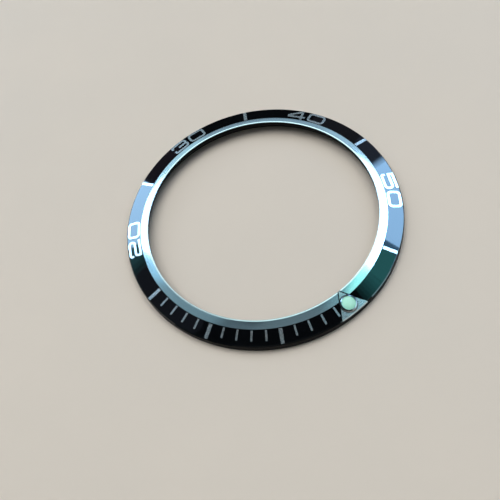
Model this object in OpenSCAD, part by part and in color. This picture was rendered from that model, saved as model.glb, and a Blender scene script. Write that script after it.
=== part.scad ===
// Insert ring for the turning bezel of a diver's watch.
// The ring lies on its flat underside, with its axis on Z and its triangle towards +Y.
// Minutes run clockwise from the triangle, as they do on a watch. Lengths are millimetres.
// One black ring carries everything else: a thin bright ring on its inner slope, the metal
// marks, digits and triangle in its face, and the pearl in its cup.
// The outer diameter is the bore plus the widths of both slopes, which comes to 38 mm.

/* [Ring] */
// Diameter of the bore
bore_d = 31.5; // [28:0.1:36]
// Radial width of the bright ring round the bore
bright_w = 1.12; // [0.9:0.01:1.5]
// Radial width of the black face
black_w = 2.13; // [1.9:0.01:2.8]
// Height of the ring's outer edge above the underside
edge_h = 1.25; // [1.1:0.05:2]
// Rise of the black face from the outer edge to the seam
black_rise = 0.45; // [0.2:0.01:0.8]
// Rise of the bright face from the seam to the land
bright_rise = 0.35; // [0.2:0.01:0.6]
// Width of the flat land round the mouth of the bore
land_w = 0.2; // [0.1:0.01:0.3]
// Chamfer along the top of the outer edge
edge_cut = 0.12; // [0.06:0.01:0.15]
// Chamfer round the underside at the outer edge
base_cut = 0.1; // [0.05:0.01:0.2]
// Chamfer at the mouth of the bore
bore_cut = 0.03; // [0.01:0.01:0.06]
// Height of the bore's upright wall, from the land down to the undercut
bore_wall = 0.5; // [0.5:0.01:0.7]
// Width of material left between the undercut and the pearl's hole
undercut_web = 0.2; // [0.15:0.01:0.3]

/* [Inlays] */
// Depth of the bright ring and the other metal inlays below the face
inlay_t = 0.18; // [0.17:0.01:0.3]
// Gap round an inlay in its pocket
inlay_gap = 0.015; // [0.01:0.005:0.03]
// Height that the inlays stand proud of the face
inlay_proud = 0.02; // [0.01:0.005:0.04]

/* [Minute marks] */
// Distance from the seam to the inner end of every mark
mark_foot = 0.1; // [0.05:0.01:0.3]
// Width of a long mark
long_w = 0.46; // [0.3:0.01:0.7]
// Distance from the outer edge to the outer end of a long mark
long_inset = 0.14; // [0.13:0.01:0.5]
// Width of a short mark
short_w = 0.25; // [0.15:0.01:0.4]
// Distance from the outer edge to the outer end of a short mark
short_inset = 0.7; // [0.4:0.01:1]

/* [Numerals] */
// Distance from the seam to the foot of a digit
digit_foot = 0.13; // [0.1:0.01:0.3]
// Distance from the outer edge to the head of a digit
digit_head = 0.18; // [0.16:0.01:0.4]
// Width of a digit
digit_w = 2.6; // [2:0.05:3]
// Gap between the two digits of a numeral
digit_gap = 0.42; // [0.2:0.02:0.8]
// Width of the stroke that a digit is drawn with
stroke = 0.33; // [0.2:0.01:0.4]
// Radius of the stroke's centre line round a wide corner
round_r = 0.4; // [0.3:0.01:0.5]
// Radius of the stroke's centre line round a tight corner
tight_r = 0.24; // [0.2:0.01:0.3]
// Length of the short tails on 2, 3 and 5
tail = 0.22; // [0.1:0.01:0.3]
// Height of the middle stroke of a 2 above the digit's centre
two_waist = -0.05; // [-0.1:0.01:0.05]
// Height of the middle stroke of a 5 above the digit's centre
five_waist = 0.2; // [0.1:0.01:0.25]
// Length of the middle stroke of a 3
three_bar = 1.55; // [1:0.05:2]
// Distance from a 4's right side to the centre of its post
four_post = 0.56; // [0.4:0.01:0.8]
// Height of the centre of a 4's crossbar above the digit's foot
four_bar = 0.5; // [0.4:0.01:0.6]
// Height of the slanted stroke's centre above the crossbar at the 4's left side
four_slant = 0.17; // [0.1:0.01:0.2]
// Distance from a 4's head down to the end of the slanted stroke's centre line
four_drop = 0.11; // [0.05:0.01:0.16]

/* [Triangle] */
// Width of the triangle along the outer edge
triangle_w = 4.1; // [3:0.05:5]
// Distance from the bore to the triangle's tip
tip_inset = 0.05; // [0.02:0.01:0.15]
// Distance from the triangle's tip to the bright ring on both sides, with the black line between
line_w = 0.13; // [0.1:0.01:0.2]

/* [Pearl] */
// Distance from the outer edge to the pearl's cup
pearl_inset = 0.17; // [0.15:0.01:0.4]
// Distance that the cup reaches over the bright ring
pearl_lap = 0.34; // [0.3:0.01:0.5]
// Width of the cup's rounded lip
lip_r = 0.26; // [0.15:0.01:0.4]
// Height of the cup's lip above the black face at its axis
cup_stand = 0.3; // [0.25:0.01:0.5]
// Height of the cup's seat above the underside
seat_h = 0.6; // [0.55:0.05:0.8]
// Thickness of the cup's floor
cup_floor = 0.4; // [0.2:0.05:0.6]
// Diameter of the stem under the cup
stem_d = 1; // [0.6:0.05:1.2]
// Distance from the underside to the end of the stem
stem_up = 0.05; // [0.03:0.01:0.2]
// Gap round the cup and its stem in their hole
cup_gap = 0.015; // [0.01:0.005:0.03]
// Gap round the luminous filling in its cup
lume_gap = 0.01; // [0.005:0.005:0.02]
// Distance from the lip down to the filling's edge
lume_sink = 0.03; // [0.01:0.01:0.08]
// Height of the filling's crown above its edge
lume_crown = 0.22; // [0.05:0.01:0.3]

/* [Hidden] */
$fn = 96;
minute = 6;
over = 1;
short_numbers = [1, 2, 3, 4, 6, 7, 8, 9, 11, 12, 13, 14];
long_numbers = [5, 10, 15, 25, 35, 45, 55];
numerals = [20, 30, 40, 50];

bore_r = bore_d / 2;
seam_r = bore_r + bright_w;
outer_r = seam_r + black_w;
land_r = bore_r + land_w;
seam_h = edge_h + black_rise;
rim_h = seam_h + bright_rise;
top_h = rim_h + over;

digit_h = black_w - digit_foot - digit_head;
digit_r = seam_r + digit_foot + digit_h / 2;
digit_step = asin((digit_w + digit_gap) / 2 / digit_r);
half_w = (digit_w - stroke) / 2;
half_h = (digit_h - stroke) / 2;

tip_r = bore_r + tip_inset;
base_y = sqrt(pow(outer_r, 2) - pow(triangle_w / 2, 2));
side_angle = atan2(triangle_w / 2, base_y - tip_r);

cup_r = (black_w - pearl_inset + pearl_lap) / 2;
pearl_r = outer_r - pearl_inset - cup_r;
lume_r = cup_r - lip_r;
lip_h = face_h(pearl_r) + cup_stand;
dome_r = (pow(lume_r, 2) + pow(lume_crown, 2)) / (2 * lume_crown);

wall_h = rim_h - bore_wall;
web_r = pearl_r - cup_r - cup_gap - undercut_web;
foot_r = bore_r + (web_r - bore_r) * wall_h / (wall_h - seat_h);

function long_name(m) = str("long_mark_", m);
function short_name(m) = str("short_mark_", m);
function tens_name(n) = str("numeral_", n, "_tens");
function zero_name(n) = str("numeral_", n, "_zero");

// Height of the black face at a radius
function face_h(r) = edge_h + black_rise * (outer_r - r) / black_w;

// The skin of the whole face, from the pocket floors up to the inlays' tops
module face_skin() {
    edge = outer_r - edge_cut;
    rotate_extrude()
        polygon([
            [bore_r, rim_h - inlay_t],
            [bore_r, rim_h - bore_cut + inlay_proud],
            [bore_r + bore_cut, rim_h + inlay_proud],
            [land_r, rim_h + inlay_proud],
            [seam_r, seam_h + inlay_proud],
            [edge, face_h(edge) + inlay_proud],
            [outer_r, edge_h - edge_cut + inlay_proud],
            [outer_r, edge_h - inlay_t],
            [seam_r, seam_h - inlay_t],
            [land_r, rim_h - inlay_t]
        ]);
}

// All the space above the pocket floors
module above_floor() {
    rotate_extrude() polygon([
        [bore_r - over, rim_h - inlay_t],
        [land_r, rim_h - inlay_t],
        [seam_r, seam_h - inlay_t],
        [outer_r + over, face_h(outer_r + over) - inlay_t],
        [outer_r + over, top_h],
        [bore_r - over, top_h]
    ]);
}

// A metal inlay with the outline that it is given
module inlay() {
    color("gainsboro")
        intersection() {
            linear_extrude(top_h) children();
            face_skin();
        }
}

// The space of a pocket with the outline that it is given
module pocket() {
    intersection() {
        linear_extrude(top_h + over) children();
        above_floor();
    }
}

// Turns what it is given to a minute on the ring
module at_minute(m) {
    rotate(-m * minute) children();
}

// The outline of a mark, wider and longer all round by grow
module mark_outline(w, inset, grow = 0) {
    inner = seam_r + mark_foot - grow;
    outer = outer_r - inset + grow;
    translate([-w / 2 - grow, inner]) square([w + 2 * grow, outer - inner]);
}

module long_outline(grow = 0) {
    mark_outline(long_w, long_inset, grow);
}

module short_outline(grow = 0) {
    mark_outline(short_w, short_inset, grow);
}

// The digits are drawn on their centre lines, about the digit's centre.
// A level stroke from x0 to x1
module level(x0, x1, y, s) {
    translate([x0, y - s / 2]) square([x1 - x0, s]);
}

// An upright stroke from y0 to y1
module upright(x, y0, y1, s) {
    if (y1 > y0) translate([x - s / 2, y0]) square([s, y1 - y0]);
}

// A quarter bend about a centre: 0 is the upper right one, and the rest follow anticlockwise
module bend(x, y, r, quarter, s) {
    translate([x, y])
        rotate(90 * quarter)
            intersection() {
                difference() {
                    circle(r = r + s / 2);
                    if (r > s / 2) circle(r = r - s / 2);
                }
                square(r + s);
            }
}

module zero(grow = 0) {
    s = stroke + 2 * grow;
    r = min(round_r, half_h);
    for (side = [-1, 1]) {
        level(r - half_w, half_w - r, side * half_h, s);
        upright(side * half_w, r - half_h, half_h - r, s);
    }
    bend(half_w - r, half_h - r, r, 0, s);
    bend(r - half_w, half_h - r, r, 1, s);
    bend(r - half_w, r - half_h, r, 2, s);
    bend(half_w - r, r - half_h, r, 3, s);
}

// A tight corner at the left with its tail, at the top or, where side is -1, at the bottom
module tailed_corner(side, s, grow) {
    y = half_h - tight_r;
    bend(tight_r - half_w, side * y, tight_r, side > 0 ? 1 : 2, s);
    if (side > 0) upright(-half_w, y - tail - grow, y, s);
    else upright(-half_w, -y, tail + grow - y, s);
}

module two(grow = 0) {
    s = stroke + 2 * grow;
    bowl = min(round_r, (half_h - two_waist) / 2);
    tailed_corner(1, s, grow);
    level(tight_r - half_w, half_w - bowl, half_h, s);
    bend(half_w - bowl, half_h - bowl, bowl, 0, s);
    upright(half_w, two_waist + bowl, half_h - bowl, s);
    bend(half_w - bowl, two_waist + bowl, bowl, 3, s);
    level(bowl - half_w, half_w - bowl, two_waist, s);
    bend(bowl - half_w, two_waist - bowl, bowl, 1, s);
    upright(-half_w, -half_h - s / 2, two_waist - bowl, s);
    level(-half_w - s / 2, half_w + s / 2, -half_h, s);
}

module three(grow = 0) {
    s = stroke + 2 * grow;
    bowl = min(round_r, half_h - tight_r);
    for (side = [-1, 1]) {
        tailed_corner(side, s, grow);
        level(tight_r - half_w, half_w - bowl, side * half_h, s);
        bend(half_w - bowl, side * (half_h - bowl), bowl, side > 0 ? 0 : 3, s);
        bend(half_w - tight_r, side * tight_r, tight_r, side > 0 ? 3 : 0, s);
    }
    upright(half_w, tight_r, half_h - bowl, s);
    upright(half_w, bowl - half_h, -tight_r, s);
    level(half_w + stroke / 2 - three_bar - grow, half_w - tight_r, 0, s);
}

module four(grow = 0) {
    s = stroke + 2 * grow;
    left = -digit_w / 2;
    post_x = digit_w / 2 - four_post;
    bar_y = four_bar - digit_h / 2;
    slant_y = bar_y + four_slant;
    slant = atan2(digit_h / 2 - four_drop - slant_y, post_x - left);
    level(left - grow, digit_w / 2 + grow, bar_y, s);
    upright(post_x, -digit_h / 2 - grow, digit_h / 2 + grow, s);
    intersection() {
        translate([left, slant_y])
            rotate(slant)
                translate([-over, -s / 2]) square([digit_w + over, s]);
        translate([left - grow, bar_y - s / 2])
            square([post_x - left + grow, digit_h / 2 + grow - bar_y + s / 2]);
    }
}

module five(grow = 0) {
    s = stroke + 2 * grow;
    bowl = min(round_r, (half_h + five_waist) / 2);
    level(-half_w - s / 2, half_w + s / 2, half_h, s);
    upright(-half_w, five_waist - s / 2, half_h + s / 2, s);
    level(-half_w - s / 2, half_w - bowl, five_waist, s);
    bend(half_w - bowl, five_waist - bowl, bowl, 0, s);
    upright(half_w, bowl - half_h, five_waist - bowl, s);
    bend(half_w - bowl, bowl - half_h, bowl, 3, s);
    level(tight_r - half_w, half_w - bowl, -half_h, s);
    tailed_corner(-1, s, grow);
}

// The first digit of a numeral
module tens(n, grow = 0) {
    if (n == 20) two(grow);
    if (n == 30) three(grow);
    if (n == 40) four(grow);
    if (n == 50) five(grow);
}

// Sets a digit on its numeral's minute: side is -1 for the first digit and 1 for the zero
module digit_place(n, side) {
    at_minute(n) rotate(-side * digit_step) translate([0, digit_r]) children();
}

// The triangle's outline from its tip out past the edge, moved out on both sides by grow
module triangle_outline(grow = 0) {
    tip = tip_r - grow / sin(side_angle);
    far = outer_r + over;
    half = (far - tip) * tan(side_angle);
    polygon([[0, tip], [half, far], [-half, far]]);
}

// The outline of the bright ring, open at the triangle and smaller all round by ease
module bright_outline(ease = 0) {
    difference() {
        circle(r = seam_r - ease);
        triangle_outline(line_w + ease);
    }
}

// The hole for the pearl: the cup's pocket and the stem's passage below it
module pearl_hole() {
    translate([0, pearl_r, seat_h]) cylinder(r = cup_r + cup_gap, h = top_h);
    translate([0, pearl_r, -over]) cylinder(r = stem_d / 2 + cup_gap, h = top_h);
}

// The black ring as it is turned, before its pockets are cut
module ring_blank() {
    edge = outer_r - edge_cut;
    rotate_extrude()
        polygon([
            [foot_r, 0],
            [outer_r - base_cut, 0],
            [outer_r, base_cut],
            [outer_r, edge_h - edge_cut],
            [edge, face_h(edge)],
            [seam_r, seam_h],
            [land_r, rim_h],
            [bore_r + bore_cut, rim_h],
            [bore_r, rim_h - bore_cut],
            [bore_r, wall_h]
        ]);
}

module face_ring() {
    color([0.05, 0.06, 0.08])
        difference() {
            ring_blank();
            pocket() {
                for (m = long_numbers) at_minute(m) long_outline(inlay_gap);
                for (m = short_numbers) at_minute(m) short_outline(inlay_gap);
            }
            pocket()
                for (n = numerals) {
                    digit_place(n, -1) tens(n, inlay_gap);
                    digit_place(n, 1) zero(inlay_gap);
                }
            pocket() bright_outline();
            pocket() triangle_outline(inlay_gap);
            pearl_hole();
        }
}

// The thin ring on the inner slope, with its flat land round the mouth of the bore
module bright_ring() {
    difference() {
        inlay() bright_outline(inlay_gap);
        pearl_hole();
    }
}

// The part of the triangle beyond the pearl, on the black face
module triangle_plate() {
    difference() {
        inlay()
            difference() {
                triangle_outline();
                circle(r = seam_r);
            }
        pearl_hole();
    }
}

// The triangle's tip inside the pearl, on the bright slope
module triangle_tip() {
    difference() {
        inlay()
            intersection() {
                triangle_outline();
                circle(r = seam_r);
            }
        pearl_hole();
    }
}

module pearl_cup() {
    color("silver")
        translate([0, pearl_r])
            rotate_extrude() {
                translate([0, stem_up]) square([stem_d / 2, seat_h - stem_up]);
                translate([0, seat_h]) square([cup_r, cup_floor]);
                translate([lume_r, seat_h + cup_floor])
                    square([lip_r, lip_h - lip_r - seat_h - cup_floor]);
                translate([lume_r, lip_h - lip_r])
                    intersection() {
                        circle(r = lip_r);
                        square(lip_r);
                    }
            }
}

module pearl_lume() {
    fill_r = lume_r - lume_gap;
    edge = lip_h - lume_sink;
    color([0.68, 0.95, 0.8])
        translate([0, pearl_r])
            rotate_extrude() {
                translate([0, seat_h + cup_floor]) square([fill_r, edge - seat_h - cup_floor]);
                intersection() {
                    translate([0, edge + lume_crown - dome_r]) circle(r = dome_r);
                    translate([0, edge]) square([fill_r, lume_crown]);
                }
            }
}

module long_mark(m) {
    inlay() at_minute(m) long_outline();
}

module short_mark(m) {
    inlay() at_minute(m) short_outline();
}

face_ring();
bright_ring();
triangle_plate();
triangle_tip();
pearl_cup();
pearl_lume();
for (m = long_numbers) long_mark(m);
for (m = short_numbers) short_mark(m);
for (n = numerals) {
    inlay() digit_place(n, -1) tens(n);
    inlay() digit_place(n, 1) zero();
}
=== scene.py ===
import math

import bmesh
import bpy
from mathutils import Matrix, Vector


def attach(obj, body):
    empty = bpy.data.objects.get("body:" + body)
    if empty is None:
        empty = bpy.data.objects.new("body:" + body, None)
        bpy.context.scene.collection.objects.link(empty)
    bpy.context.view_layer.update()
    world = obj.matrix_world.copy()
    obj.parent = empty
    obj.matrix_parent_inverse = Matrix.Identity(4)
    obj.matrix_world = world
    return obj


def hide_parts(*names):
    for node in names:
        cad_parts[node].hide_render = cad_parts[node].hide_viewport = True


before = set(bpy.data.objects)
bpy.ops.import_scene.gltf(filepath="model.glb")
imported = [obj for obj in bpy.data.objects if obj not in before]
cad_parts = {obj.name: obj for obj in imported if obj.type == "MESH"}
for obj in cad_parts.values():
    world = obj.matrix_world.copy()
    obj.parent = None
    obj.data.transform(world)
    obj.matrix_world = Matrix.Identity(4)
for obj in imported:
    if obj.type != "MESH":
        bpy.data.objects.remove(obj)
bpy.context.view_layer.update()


# The black ring.
# One sloped metal ring that carries everything else, turned to its section and lacquered: gloss
# on its polished face, duller on its ground walls. Each inlay has a pocket cut in it.

MM = 0.001
BORE_R, LAND_R, SEAM_R, OUTER_R = 15.75, 15.95, 16.87, 19.0
EDGE_H, SEAM_H, RIM_H = 1.25, 1.70, 2.05
EDGE_CUT, BASE_CUT = 0.12, 0.1
FOOT_R, WALL_H = 16.67, 1.55
BLACK_SLOPE = (SEAM_H - EDGE_H) / (OUTER_R - SEAM_R)
BLACK_ROUND = 0.02
POCKET_DEPTH = 0.18
GAP = 0.015
MERGE = 1e-4
CREASE = math.radians(8)
FACES_UP = 0.5


def face_h(r):
    """Height of the face at a radius, in millimetres."""
    if r > SEAM_R:
        return EDGE_H + BLACK_SLOPE * (OUTER_R - r)
    return min(RIM_H, SEAM_H + (RIM_H - SEAM_H) * (SEAM_R - r) / (SEAM_R - LAND_R))


def turned(section, steps=720, closed=True):
    """A mesh turned round the watch's axis from a section of (radius, height) points."""
    bm = bmesh.new()
    verts = [bm.verts.new((r * MM, 0, z * MM)) for r, z in section]
    ends = zip(verts, verts[1:] + verts[:1] if closed else verts[1:])
    edges = [bm.edges.new(pair) for pair in ends]
    bmesh.ops.spin(bm, geom=verts + edges, cent=(0, 0, 0), axis=(0, 0, 1), dvec=(0, 0, 0),
                   angle=2 * math.pi, steps=steps, use_merge=True, use_duplicate=False)
    bmesh.ops.remove_doubles(bm, verts=bm.verts, dist=MERGE * MM)
    bmesh.ops.recalc_face_normals(bm, faces=bm.faces)
    return bm


def round_corners(bm, size, angle=20, segments=2):
    """Rounds every edge that turns by more than an angle, by a size in millimetres."""
    sharp = [e for e in bm.edges
             if len(e.link_faces) == 2 and e.calc_face_angle() > math.radians(angle)]
    bmesh.ops.bevel(bm, geom=sharp, offset=size * MM, offset_type="OFFSET", affect="EDGES",
                    segments=segments, profile=0.5, material=-1, clamp_overlap=True)
    return bm


def smooth(mesh):
    """Smooths a mesh but for its edges, which stay crisp, and drops the CAD's own normals."""
    if "custom_normal" in mesh.attributes:
        mesh.attributes.remove(mesh.attributes["custom_normal"])
    mesh.shade_smooth()
    mesh.set_sharp_from_angle(angle=CREASE)


def new_piece(name, bm):
    """A piece from a finished bmesh."""
    mesh = bpy.data.meshes.new(name)
    bm.to_mesh(mesh)
    bm.free()
    smooth(mesh)
    piece = bpy.data.objects.new(name, mesh)
    bpy.context.collection.objects.link(piece)
    return piece


def cut(piece, bm):
    """Cuts a bmesh's shape out of a piece, and merges the doubled points that this leaves."""
    tool = new_piece("tool", bm)
    boolean = piece.modifiers.new("cut", "BOOLEAN")
    boolean.operation = "DIFFERENCE"
    boolean.solver = "EXACT"
    boolean.object = tool
    graph = bpy.context.evaluated_depsgraph_get()
    mesh = bpy.data.meshes.new_from_object(piece.evaluated_get(graph))
    piece.modifiers.clear()
    merged = bmesh.new()
    merged.from_mesh(mesh)
    bmesh.ops.remove_doubles(merged, verts=merged.verts, dist=2 * MERGE * MM)
    bmesh.ops.dissolve_degenerate(merged, dist=MERGE * MM, edges=merged.edges)
    merged.to_mesh(mesh)
    merged.free()
    piece.data = mesh
    smooth(mesh)
    bpy.data.objects.remove(tool)


section = [(FOOT_R, 0), (OUTER_R - BASE_CUT, 0), (OUTER_R, BASE_CUT), (OUTER_R, EDGE_H - EDGE_CUT),
           (OUTER_R - EDGE_CUT, face_h(OUTER_R - EDGE_CUT)), (SEAM_R, SEAM_H), (LAND_R, RIM_H),
           (BORE_R, RIM_H), (BORE_R, WALL_H)]
black_ring = new_piece("black_ring", round_corners(turned(section), BLACK_ROUND))

# How far the cutters reach past what they cut, and over it.
PAST, OVER = 0.5, 3
TRIANGLE_HALF = 2.05
TRIANGLE_TIP_R = BORE_R + 0.05
TIP_END_R, PLATE_END_R = 17.5, 19.6
LINE_W = 0.13


def triangle_prism(grow, end, low, high):
    """The triangle as a prism, moved out by grow, up to an end, with heights over the face."""
    rise = TRIANGLE_HALF / (math.sqrt(OUTER_R ** 2 - TRIANGLE_HALF ** 2) - TRIANGLE_TIP_R)
    tip = TRIANGLE_TIP_R - grow / math.sin(math.atan(rise))
    rows = [y for y in (LAND_R, SEAM_R, end) if y > tip]
    bm = bmesh.new()
    sides = []
    for side in (-1, 1):
        line = [bm.verts.new((side * (y - tip) * rise * MM, y * MM, (face_h(y) + low) * MM))
                for y in rows]
        sides.append([bm.verts.new((0, tip * MM, (face_h(tip) + low) * MM)), *line])
    for i in range(len(rows)):
        bm.faces.new((sides[0][i], sides[1][i], sides[1][i + 1], sides[0][i + 1]))
    bmesh.ops.remove_doubles(bm, verts=bm.verts, dist=MERGE * MM)
    grown = bmesh.ops.extrude_face_region(bm, geom=bm.faces[:])["geom"]
    top = [v for v in grown if isinstance(v, bmesh.types.BMVert)]
    bmesh.ops.translate(bm, vec=(0, 0, (high - low) * MM), verts=top)
    bmesh.ops.recalc_face_normals(bm, faces=bm.faces)
    return bm


band_pocket = new_piece("band_pocket", turned(
    [(BORE_R - PAST, RIM_H - POCKET_DEPTH), (LAND_R, RIM_H - POCKET_DEPTH),
     (SEAM_R, SEAM_H - POCKET_DEPTH), (SEAM_R, OVER), (BORE_R - PAST, OVER)]))
cut(band_pocket, triangle_prism(LINE_W, TIP_END_R, -PAST, OVER))
band_cutter = bmesh.new()
band_cutter.from_mesh(band_pocket.data)
bpy.data.objects.remove(band_pocket)
cut(black_ring, band_cutter)

MINUTE = math.radians(6)
MARK_R = 16.97
LONG_MINUTES, LONG_W, LONG_END_R = (5, 10, 15, 25, 35, 45, 55), 0.46, 18.86
SHORT_MINUTES, SHORT_W, SHORT_END_R = (1, 2, 3, 4, 6, 7, 8, 9, 11, 12, 13, 14), 0.25, 18.3
POCKET_OVER, PLATE_OVER = 0.3, 0.6


def mark_pocket(bm, minute, width, end):
    """Adds the block that cuts a minute mark's pocket, with a floor that follows the face."""
    made = bmesh.ops.create_cube(bm, size=1)["verts"]
    size = Matrix.Diagonal((width + 2 * GAP, end - MARK_R + 2 * GAP, POCKET_OVER + POCKET_DEPTH, 1))
    slope = Matrix.Identity(4)
    slope[2][1] = -BLACK_SLOPE
    middle = (MARK_R + end) / 2
    place = Matrix.Translation((0, middle, face_h(middle) + (POCKET_OVER - POCKET_DEPTH) / 2))
    turn = Matrix.Rotation(-MINUTE * minute, 4, "Z")
    bmesh.ops.transform(bm, matrix=Matrix.Scale(MM, 4) @ turn @ place @ slope @ size, verts=made)


pockets = bmesh.new()
for minute in LONG_MINUTES:
    mark_pocket(pockets, minute, LONG_W, LONG_END_R)
for minute in SHORT_MINUTES:
    mark_pocket(pockets, minute, SHORT_W, SHORT_END_R)
for number in (20, 30, 40, 50):
    for digit in ("tens", "zero"):
        pockets.from_mesh(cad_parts[f"numeral_{number}_{digit}"].data)
bmesh.ops.remove_doubles(pockets, verts=pockets.verts, dist=MERGE * MM)
cut(black_ring, pockets)
cut(black_ring, triangle_prism(GAP, PLATE_END_R, -POCKET_DEPTH, PLATE_OVER))

PEARL_R = 17.68
CUP_R, STEM_R = 1.15, 0.5
SEAT_H = 0.6
STEM_HOLE_LOW, STEM_HOLE_HIGH = -1, 1
PEARL_STEPS = 128


def pearl_hole(radius, low, high):
    """The upright cylinder that cuts a hole for the pearl, with a gap round it."""
    bm = bmesh.new()
    bmesh.ops.create_cone(bm, cap_ends=True, segments=PEARL_STEPS, radius1=(radius + GAP) * MM,
                          radius2=(radius + GAP) * MM, depth=(high - low) * MM)
    bmesh.ops.translate(bm, vec=(0, PEARL_R * MM, (low + high) / 2 * MM), verts=bm.verts)
    return bm


cut(black_ring, pearl_hole(CUP_R, SEAT_H, OVER))
cut(black_ring, pearl_hole(STEM_R, STEM_HOLE_LOW, STEM_HOLE_HIGH))


def material(name):
    """A new node material: itself, its nodes, its links and its Principled shader."""
    made = bpy.data.materials.new(name)
    made.use_nodes = True
    nodes = made.node_tree.nodes
    nodes.clear()
    shader = nodes.new("ShaderNodeBsdfPrincipled")
    out = nodes.new("ShaderNodeOutputMaterial")
    made.node_tree.links.new(shader.outputs["BSDF"], out.inputs["Surface"])
    return made, nodes, made.node_tree.links, shader


def grain_group():
    """The fine grain that every finish has: a mask, a roughness and a colour that follow it."""
    group = bpy.data.node_groups.new("grain", "ShaderNodeTree")
    sockets = (("Place", "INPUT", "Vector"), ("Scale", "INPUT", "Float"),
               ("Detail", "INPUT", "Float"), ("Smoothest", "INPUT", "Float"),
               ("Roughest", "INPUT", "Float"), ("Darkest", "INPUT", "Color"),
               ("Palest", "INPUT", "Color"), ("Mask", "OUTPUT", "Float"),
               ("Roughness", "OUTPUT", "Float"), ("Colour", "OUTPUT", "Color"))
    for name, way, kind in sockets:
        group.interface.new_socket(name, in_out=way, socket_type=f"NodeSocket{kind}")
    given = group.nodes.new("NodeGroupInput")
    noise = group.nodes.new("ShaderNodeTexNoise")
    group.links.new(given.outputs["Place"], noise.inputs["Vector"])
    group.links.new(given.outputs["Scale"], noise.inputs["Scale"])
    group.links.new(given.outputs["Detail"], noise.inputs["Detail"])
    mask = group.nodes.new("ShaderNodeMapRange")
    mask.inputs["From Min"].default_value = 0.3
    mask.inputs["From Max"].default_value = 0.7
    group.links.new(noise.outputs["Fac"], mask.inputs["Value"])
    rough = group.nodes.new("ShaderNodeMapRange")
    group.links.new(mask.outputs["Result"], rough.inputs["Value"])
    group.links.new(given.outputs["Smoothest"], rough.inputs["To Min"])
    group.links.new(given.outputs["Roughest"], rough.inputs["To Max"])
    colour = group.nodes.new("ShaderNodeMix")
    colour.data_type = "RGBA"
    group.links.new(mask.outputs["Result"], colour.inputs["Factor"])
    group.links.new(given.outputs["Darkest"], colour.inputs["A"])
    group.links.new(given.outputs["Palest"], colour.inputs["B"])
    out = group.nodes.new("NodeGroupOutput")
    group.links.new(mask.outputs["Result"], out.inputs["Mask"])
    group.links.new(rough.outputs["Result"], out.inputs["Roughness"])
    group.links.new(colour.outputs["Result"], out.inputs["Colour"])
    return group


GRAIN = grain_group()


def grain(nodes, links, place=None, *, scale, detail, rough, darkest, palest):
    """Places the grain in a material, over the object unless it is given another place."""
    made = nodes.new("ShaderNodeGroup")
    made.node_tree = GRAIN
    made.inputs["Scale"].default_value = scale
    made.inputs["Detail"].default_value = detail
    made.inputs["Smoothest"].default_value, made.inputs["Roughest"].default_value = rough
    made.inputs["Darkest"].default_value = (*darkest, 1)
    made.inputs["Palest"].default_value = (*palest, 1)
    if place is None:
        place = nodes.new("ShaderNodeTexCoord").outputs["Object"]
    links.new(place, made.inputs["Place"])
    return made


def finished(nodes, links, shader, place=None, **look):
    """Gives a shader the grain's colour and roughness."""
    made = grain(nodes, links, place, **look)
    links.new(made.outputs["Colour"], shader.inputs["Base Color"])
    links.new(made.outputs["Roughness"], shader.inputs["Roughness"])
    return made


def paint(piece, finish):
    """Gives a piece or a CAD node one finish."""
    if piece.material_slots:
        for slot in piece.material_slots:
            slot.material = finish
    else:
        piece.data.materials.append(finish)


DEEP_BLACK, WORN_BLACK = (0.0012, 0.0016, 0.0022), (0.002, 0.0025, 0.0034)
gloss_black, nodes, links, shader = material("gloss_black")
finished(nodes, links, shader, scale=260, detail=4, rough=(0.02, 0.05),
         darkest=DEEP_BLACK, palest=WORN_BLACK)
shader.inputs["IOR"].default_value = 1.6

# Dull black for the black ring's own ground walls; on the bright ring's steel bore wall it is
# painted shade.
ground_black_and_shade, nodes, links, shader = material("ground_black_and_shade")
finished(nodes, links, shader, scale=6000, detail=3, rough=(0.4, 0.5),
         darkest=DEEP_BLACK, palest=WORN_BLACK)
shader.inputs["IOR"].default_value = 1.15


def grind_and_shade(piece, inside=math.inf):
    """Gives a piece's walls and underside the dull black finish, inside a radius, and leaves the
    rest polished; on the steel ring that black is painted shade.
    """
    piece.data.materials.append(ground_black_and_shade)
    dull = len(piece.data.materials) - 1
    for face in piece.data.polygons:
        if face.normal.z < FACES_UP and face.center.xy.length < inside * MM:
            face.material_index = dull


paint(black_ring, gloss_black)
grind_and_shade(black_ring)
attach(black_ring, "root")
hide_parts("face_ring")


# The bright ring.
# A thin satin steel ring set on the inner slope, turned with a slight crown and with a flat
# land at the mouth of the bore. It is open at the triangle's tip, and the pearl's cup laps it.

PROUD = 0.02
CROWN, CROWN_STEPS = 0.006, 12
BORE_CUT = 0.03
BRIGHT_ROUND = 0.008

foot_r = SEAM_R - GAP
foot_h = face_h(foot_r)
crown = []
for i in range(CROWN_STEPS + 1):
    t = i / CROWN_STEPS
    crown.append((foot_r + (LAND_R - foot_r) * t,
                  foot_h + PROUD + (RIM_H - foot_h) * t + CROWN * 4 * t * (1 - t)))
section = [(BORE_R, RIM_H - POCKET_DEPTH), (LAND_R, RIM_H - POCKET_DEPTH),
           (foot_r, foot_h - POCKET_DEPTH), *crown,
           (BORE_R + BORE_CUT, RIM_H + PROUD), (BORE_R, RIM_H + PROUD - BORE_CUT)]
bright_ring = new_piece("bright_ring", round_corners(turned(section), BRIGHT_ROUND, angle=30))
cut(bright_ring, triangle_prism(LINE_W + GAP, TIP_END_R, -PAST, OVER))
cut(bright_ring, pearl_hole(CUP_R, SEAT_H, OVER))

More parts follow.
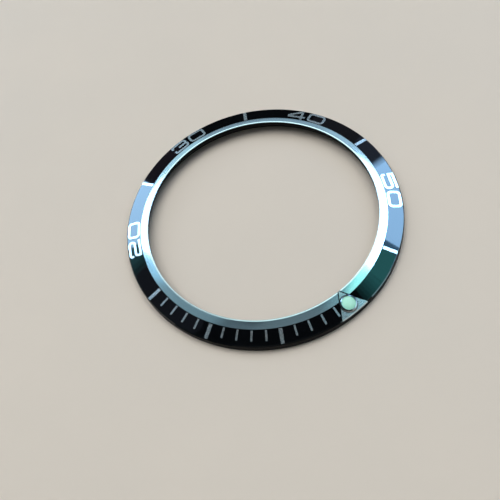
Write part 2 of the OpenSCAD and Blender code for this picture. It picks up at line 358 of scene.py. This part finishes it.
# Its grain runs in rings: it is read from the distance to the axis and the height alone.
satin_steel, nodes, links, shader = material("satin_steel")
place = nodes.new("ShaderNodeTexCoord")
split = nodes.new("ShaderNodeSeparateXYZ")
links.new(place.outputs["Object"], split.inputs["Vector"])
level = nodes.new("ShaderNodeCombineXYZ")
links.new(split.outputs["X"], level.inputs["X"])
links.new(split.outputs["Y"], level.inputs["Y"])
radius = nodes.new("ShaderNodeVectorMath")
radius.operation = "LENGTH"
links.new(level.outputs["Vector"], radius.inputs[0])
rings = nodes.new("ShaderNodeCombineXYZ")
links.new(radius.outputs["Value"], rings.inputs["X"])
links.new(split.outputs["Z"], rings.inputs["Y"])
finished(nodes, links, shader, rings.outputs["Vector"], scale=30000, detail=3, rough=(0.15, 0.21),
         darkest=(0.58, 0.60, 0.61), palest=(0.68, 0.70, 0.71))
shader.inputs["Metallic"].default_value = 1

paint(bright_ring, satin_steel)
# Painted shade: the steel's own wall at the bore gets the dull black, to darken the band's inner
# edge.
grind_and_shade(bright_ring, BORE_R + BORE_CUT)
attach(bright_ring, "root")
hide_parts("bright_ring")


# The metal inlays.
# Nineteen minute marks, eight digits, the triangle and its tip, cut from thin satin metal and
# set in the black ring's pockets, a hair proud of its face.

inlay_metal, nodes, links, shader = material("inlay_metal")
finished(nodes, links, shader, scale=20000, detail=2, rough=(0.25, 0.29),
         darkest=(0.59, 0.59, 0.57), palest=(0.62, 0.62, 0.60))
shader.inputs["Metallic"].default_value = 0.9
for name, cad_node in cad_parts.items():
    if name.startswith(("long_mark", "short_mark", "numeral", "triangle")):
        paint(cad_node, inlay_metal)


# The pearl.
# A polished steel cup, pressed through the ring by its stem, with a proud rounded lip that
# follows the face's slope. Its filling is luminous paste, a matte pale mint, set domed, and
# given a faint painted glow.

LUME_R = 0.89
STEM_LOW, BOWL_H = 0.05, SEAT_H + 0.4
LIP_H = face_h(PEARL_R) + 0.3
LIP_START, LIP_STEPS = math.radians(34), 12
LIP_R = (CUP_R - LUME_R) / (1 - math.sin(LIP_START))
CUP_LEVEL, FILLING_LEVEL = 1.1, 1.2


def at_pearl(bm, level):
    """Slopes a turned mesh with the face, above a level, and moves it to the pearl's place."""
    slope = Matrix.Identity(4)
    slope[2][1] = -BLACK_SLOPE
    top = [v for v in bm.verts if v.co.z > level * MM]
    bmesh.ops.transform(bm, matrix=slope, verts=top)
    bmesh.ops.translate(bm, vec=(0, PEARL_R * MM, 0), verts=bm.verts)
    return bm


lip = []
for i in range(LIP_STEPS + 1):
    a = math.pi / 2 + (LIP_START - math.pi / 2) * i / LIP_STEPS
    lip.append((CUP_R - LIP_R + LIP_R * math.sin(a),
                LIP_H - LIP_R * (math.cos(LIP_START) - math.cos(a))))
section = [(0, STEM_LOW), (STEM_R, STEM_LOW), (STEM_R, SEAT_H), (CUP_R, SEAT_H), *lip,
           (LUME_R, BOWL_H), (0, BOWL_H)]
cup = new_piece("pearl_cup_polished",
                at_pearl(turned(section, steps=PEARL_STEPS, closed=False), CUP_LEVEL))

polished_steel, nodes, links, shader = material("polished_steel")
finished(nodes, links, shader, scale=12000, detail=2, rough=(0.17, 0.23),
         darkest=(0.28, 0.29, 0.30), palest=(0.33, 0.34, 0.35))
shader.inputs["Metallic"].default_value = 1
paint(cup, polished_steel)
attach(cup, "root")
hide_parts("pearl_cup")

FILLING_R, FILLING_H = LUME_R - 0.01, LIP_H - 0.15
FILLING_STEPS = 96
DOME_H, DOME_POWER, DOME_STEPS = 0.34, 2.6, 20

dome = []
for i in range(DOME_STEPS + 1):
    t = 1 - i / DOME_STEPS
    dome.append((FILLING_R * t, FILLING_H + DOME_H * (1 - t ** DOME_POWER)))
section = [(0, BOWL_H), (FILLING_R, BOWL_H), *dome]
filling = new_piece("pearl_filling",
                    at_pearl(turned(section, steps=FILLING_STEPS, closed=False), FILLING_LEVEL))

lume_paste, nodes, links, shader = material("lume_paste")
paste = finished(nodes, links, shader, scale=9000, detail=5, rough=(0.65, 0.75),
                 darkest=(0.45, 0.90, 0.74), palest=(0.53, 0.97, 0.84))
# Painted glow: a faint emission that brightens the paste beyond what the lamps give.
glow = grain(nodes, links, scale=9000, detail=5, rough=(0.65, 0.75),
             darkest=(0.02, 0.08, 0.05), palest=(0.03, 0.11, 0.08))
links.new(glow.outputs["Colour"], shader.inputs["Emission Color"])
shader.inputs["Emission Strength"].default_value = 1
bump = nodes.new("ShaderNodeBump")
bump.inputs["Strength"].default_value = 0.25
bump.inputs["Distance"].default_value = 0.01 * MM
links.new(paste.outputs["Mask"], bump.inputs["Height"])
links.new(bump.outputs["Normal"], shader.inputs["Normal"])
paint(filling, lume_paste)
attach(filling, "root")
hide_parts("pearl_lume")


# The floor.
# A plain pale disc that the ring lies on, and a backdrop of the same finish, which curves up
# near the disc's rim and fills the view from low down.

FLOOR_MIDDLE_R, FLOOR_R = 60, 460
BACKDROP_R, BACKDROP_BEND_R = 450, 150
BACKDROP_ANGLE, BACKDROP_STEPS = math.radians(75), 10
STAGE_STEPS = 128

pale_floor, nodes, links, shader = material("pale_floor")
finished(nodes, links, shader, scale=40, detail=4, rough=(0.75, 0.85),
         darkest=(0.74, 0.68, 0.60), palest=(0.77, 0.71, 0.63))

section = [(0, 0), (FLOOR_MIDDLE_R, 0), (FLOOR_R, 0)]
floor = new_piece("floor", turned(section, steps=STAGE_STEPS, closed=False))
section = []
for i in range(BACKDROP_STEPS + 1):
    a = BACKDROP_ANGLE * i / BACKDROP_STEPS
    section.append((BACKDROP_R + BACKDROP_BEND_R * math.sin(a),
                    BACKDROP_BEND_R * (1 - math.cos(a))))
backdrop = new_piece("backdrop", turned(section, steps=STAGE_STEPS, closed=False))
backdrop.visible_glossy = False
for stage in (floor, backdrop):
    paint(stage, pale_floor)


# The lights.
# Two tall soft windows on the far side of the ring, with the light that they throw on the
# floor, the pale room around them, and a soft lamp overhead.

AZIMUTH = math.radians(157.387)
LAMP_DISTANCE = 1.2


def sky(right_of_away, elevation):
    """A direction given by its angle to the right of the camera's heading and its height."""
    heading = AZIMUTH - math.radians(right_of_away)
    side = math.cos(math.radians(elevation))
    return Vector((-math.sin(heading) * side, math.cos(heading) * side,
                   math.sin(math.radians(elevation))))


def lamp(name, place, away, width, height, radiance):
    """A soft rectangular lamp that faces along -away, with its radiance in each colour."""
    data = bpy.data.lights.new(name, "AREA")
    data.shape = "RECTANGLE"
    data.size = width
    data.size_y = height
    data.color = [c / max(radiance) for c in radiance]
    data.energy = max(radiance) * math.pi * width * height
    made = bpy.data.objects.new(name, data)
    made.location = place
    made.rotation_mode = "QUATERNION"
    made.rotation_quaternion = (-away).to_track_quat("-Z", "Y")
    made.visible_camera = False
    bpy.context.collection.objects.link(made)
    return made


def span(angle):
    """The width at the lamps' distance that fills an angle in degrees."""
    return 2 * LAMP_DISTANCE * math.tan(math.radians(angle / 2))


def upright(name, right_of_away, low, high, width, radiance):
    """An upright lamp between two elevations as the ring sees it, over a width of angle."""
    flat = sky(right_of_away, 0)
    bottom = LAMP_DISTANCE * math.tan(math.radians(low))
    top = LAMP_DISTANCE * math.tan(math.radians(high))
    place = flat * LAMP_DISTANCE + Vector((0, 0, (bottom + top) / 2))
    return lamp(name, place, flat, span(width), top - bottom, radiance)


def overhead(name, right_of_away, elevation, width, height, radiance):
    """A lamp turned to face the ring, with its width and height as angles."""
    away = sky(right_of_away, elevation)
    return lamp(name, away * LAMP_DISTANCE, away, span(width), span(height), radiance)


def dimmed(radiance, share):
    """A radiance brought down to a share of itself."""
    return [c * share for c in radiance]


LEFT_WINDOW, RIGHT_WINDOW = (4.8, 8.4, 12.6), (4.4, 8.2, 13.0)
LEFT_HEAD, TEAL = (0.22, 0.75, 0.85), (0.22, 1.25, 1.3)

# What the gloss and the metal mirror, and nothing else sees.
mirrored = [
    upright("window_left", -37.6, 17, 41.5, 26.8, LEFT_WINDOW),
    upright("window_side", -58.5, 28, 46, 15, (0.2, 0.52, 0.76)),
    upright("window_edge_left", -23.55, 24, 41.5, 1.3, LEFT_WINDOW),
    upright("window_right", 68.9, 27.2, 55.8, 54.2, RIGHT_WINDOW),
    overhead("window_head_right", 63, 56.5, 8, 2.4, (0.5, 1.3, 2.3)),
    upright("curtain", 37, 24, 45, 8, (0.18, 0.22, 0.34)),
    upright("dark_wall_right", 27, 20, 42, 12, (0.08, 0.08, 0.1)),
    upright("dark_wall_left", -17, 22, 40, 14, (0.08, 0.06, 0.09)),
    upright("horizon_low", 8, -1, 5.5, 70, (0.09, 0.15, 0.2)),
    upright("horizon_high", 10.5, 5.5, 20, 35, (0.3, 0.48, 0.6)),
    upright("glow_left", -16, 5, 22, 18, (0.54, 0.92, 1.08)),
    upright("glow_right", 34.5, 8, 22, 13, (0.42, 0.7, 0.88)),
    upright("sill_right", 49, 9, 27.2, 16, (0.48, 0.8, 1.0)),
    overhead("ceiling_far", 0, 51, 42, 14, (1.5, 2.1, 2.2)),
    overhead("ceiling_near", 13.5, 64.5, 21, 12, (1.03, 1.52, 1.54)),
    overhead("ceiling_side", -20, 58, 8, 14, (0.5, 0.66, 0.69)),
    overhead("ceiling_left", -33, 53, 12, 8, (1.2, 1.45, 1.45)),
    overhead("ceiling_right", 36, 58, 14, 12, (2.2, 2.5, 2.5)),
    overhead("teal_near", 100, 56, 20, 14, (0.47, 1.55, 1.4)),
    overhead("teal_far", 71, 61.2, 17, 7, (0.26, 1.45, 1.5)),
    upright("wall_left", 279, 22, 47, 48, (0.22, 0.38, 0.45)),
    upright("wall_left_high", 271, 47, 67, 38, (0.19, 0.33, 0.39)),
    upright("wall_far_left", -57, 47, 68, 26, (0.075, 0.085, 0.12)),
    upright("wall_right", 126, 42, 70, 26, (0.22, 0.42, 0.49)),
    upright("wall_near", 180, 42, 80, 82, (0.135, 0.21, 0.24)),
    upright("wall_back", 234, 42, 70, 30, (0.1, 0.16, 0.19)),
    upright("edge_right", 103, -3, 15, 52, (2.0, 3.5, 4.0)),
    upright("edge_near", 141, 8, 30, 24, (1.0, 1.35, 1.45)),
    upright("edge_back", 190, 8, 42, 60, (0.07, 0.065, 0.06)),
]

# Three of these fade away at an edge, in narrow strips.
for i in range(6):
    mirrored.append(overhead(f"teal_fade_{i}", 73.6 + 0.65 * i, 65.2 + 0.96 * i, 15 - 0.5 * i, 0.98,
                             dimmed(TEAL, 1 - 0.16 * i)))
for i in range(4):
    mirrored.append(upright(f"window_edge_right_{i}", 40.4 + 0.4 * i, 27.2, 46, 0.4,
                            dimmed(RIGHT_WINDOW, 0.12 + 0.2 * i)))
for i in range(5):
    mirrored.append(upright(f"window_head_left_{i}", -43, 41.5 + 1.1 * i, 42.6 + 1.1 * i, 16,
                            dimmed(LEFT_HEAD, 1.25 - 0.25 * i)))
for made in mirrored:
    made.visible_diffuse = False

# What falls on the floor and the paste, and isn't mirrored.
thrown = [
    upright("light_left", -39.7, 16, 41.5, 31, (1.6, 1.55, 1.45)),
    upright("light_right", 62, 20, 56, 44, (0.55, 0.55, 0.53)),
    overhead("light_over", -8, 76, 60, 38, (2.85, 2.8, 2.72)),
    overhead("light_room", 0, 84, 110, 110, (0.18, 0.18, 0.175)),
]
for made in thrown:
    made.visible_glossy = False

world = bpy.data.worlds.new("studio")
bpy.context.scene.world = world
world.use_nodes = True
world.node_tree.nodes["Background"].inputs["Color"].default_value = (0.014, 0.018, 0.023, 1)
world.node_tree.nodes["Background"].inputs["Strength"].default_value = 1


# The camera.
# It looks at the ring from the photograph's own angle, distance and tilt, with the lens that
# fits the ring's outline there.

ELEVATION, ROLL = math.radians(59.198), math.radians(17.1355)
DISTANCE = 0.089069
AIM = Vector((0.0041579, 0.0024471, 0))

camera_data = bpy.data.cameras.new("camera")
camera_data.sensor_width = 36
camera_data.lens = 47.458
camera_data.clip_start = 0.001
camera_data.clip_end = 10
camera = bpy.data.objects.new("camera", camera_data)
bpy.context.collection.objects.link(camera)
back = sky(180, math.degrees(ELEVATION))
right = sky(90, 0)
up = back.cross(right)
x_axis = right * math.cos(ROLL) - up * math.sin(ROLL)
y_axis = right * math.sin(ROLL) + up * math.cos(ROLL)
eye = AIM + back * DISTANCE
camera.matrix_world = Matrix(((x_axis.x, y_axis.x, back.x, eye.x),
                              (x_axis.y, y_axis.y, back.y, eye.y),
                              (x_axis.z, y_axis.z, back.z, eye.z), (0, 0, 0, 1)))
bpy.context.scene.camera = camera
bpy.context.scene.view_settings.view_transform = "Standard"
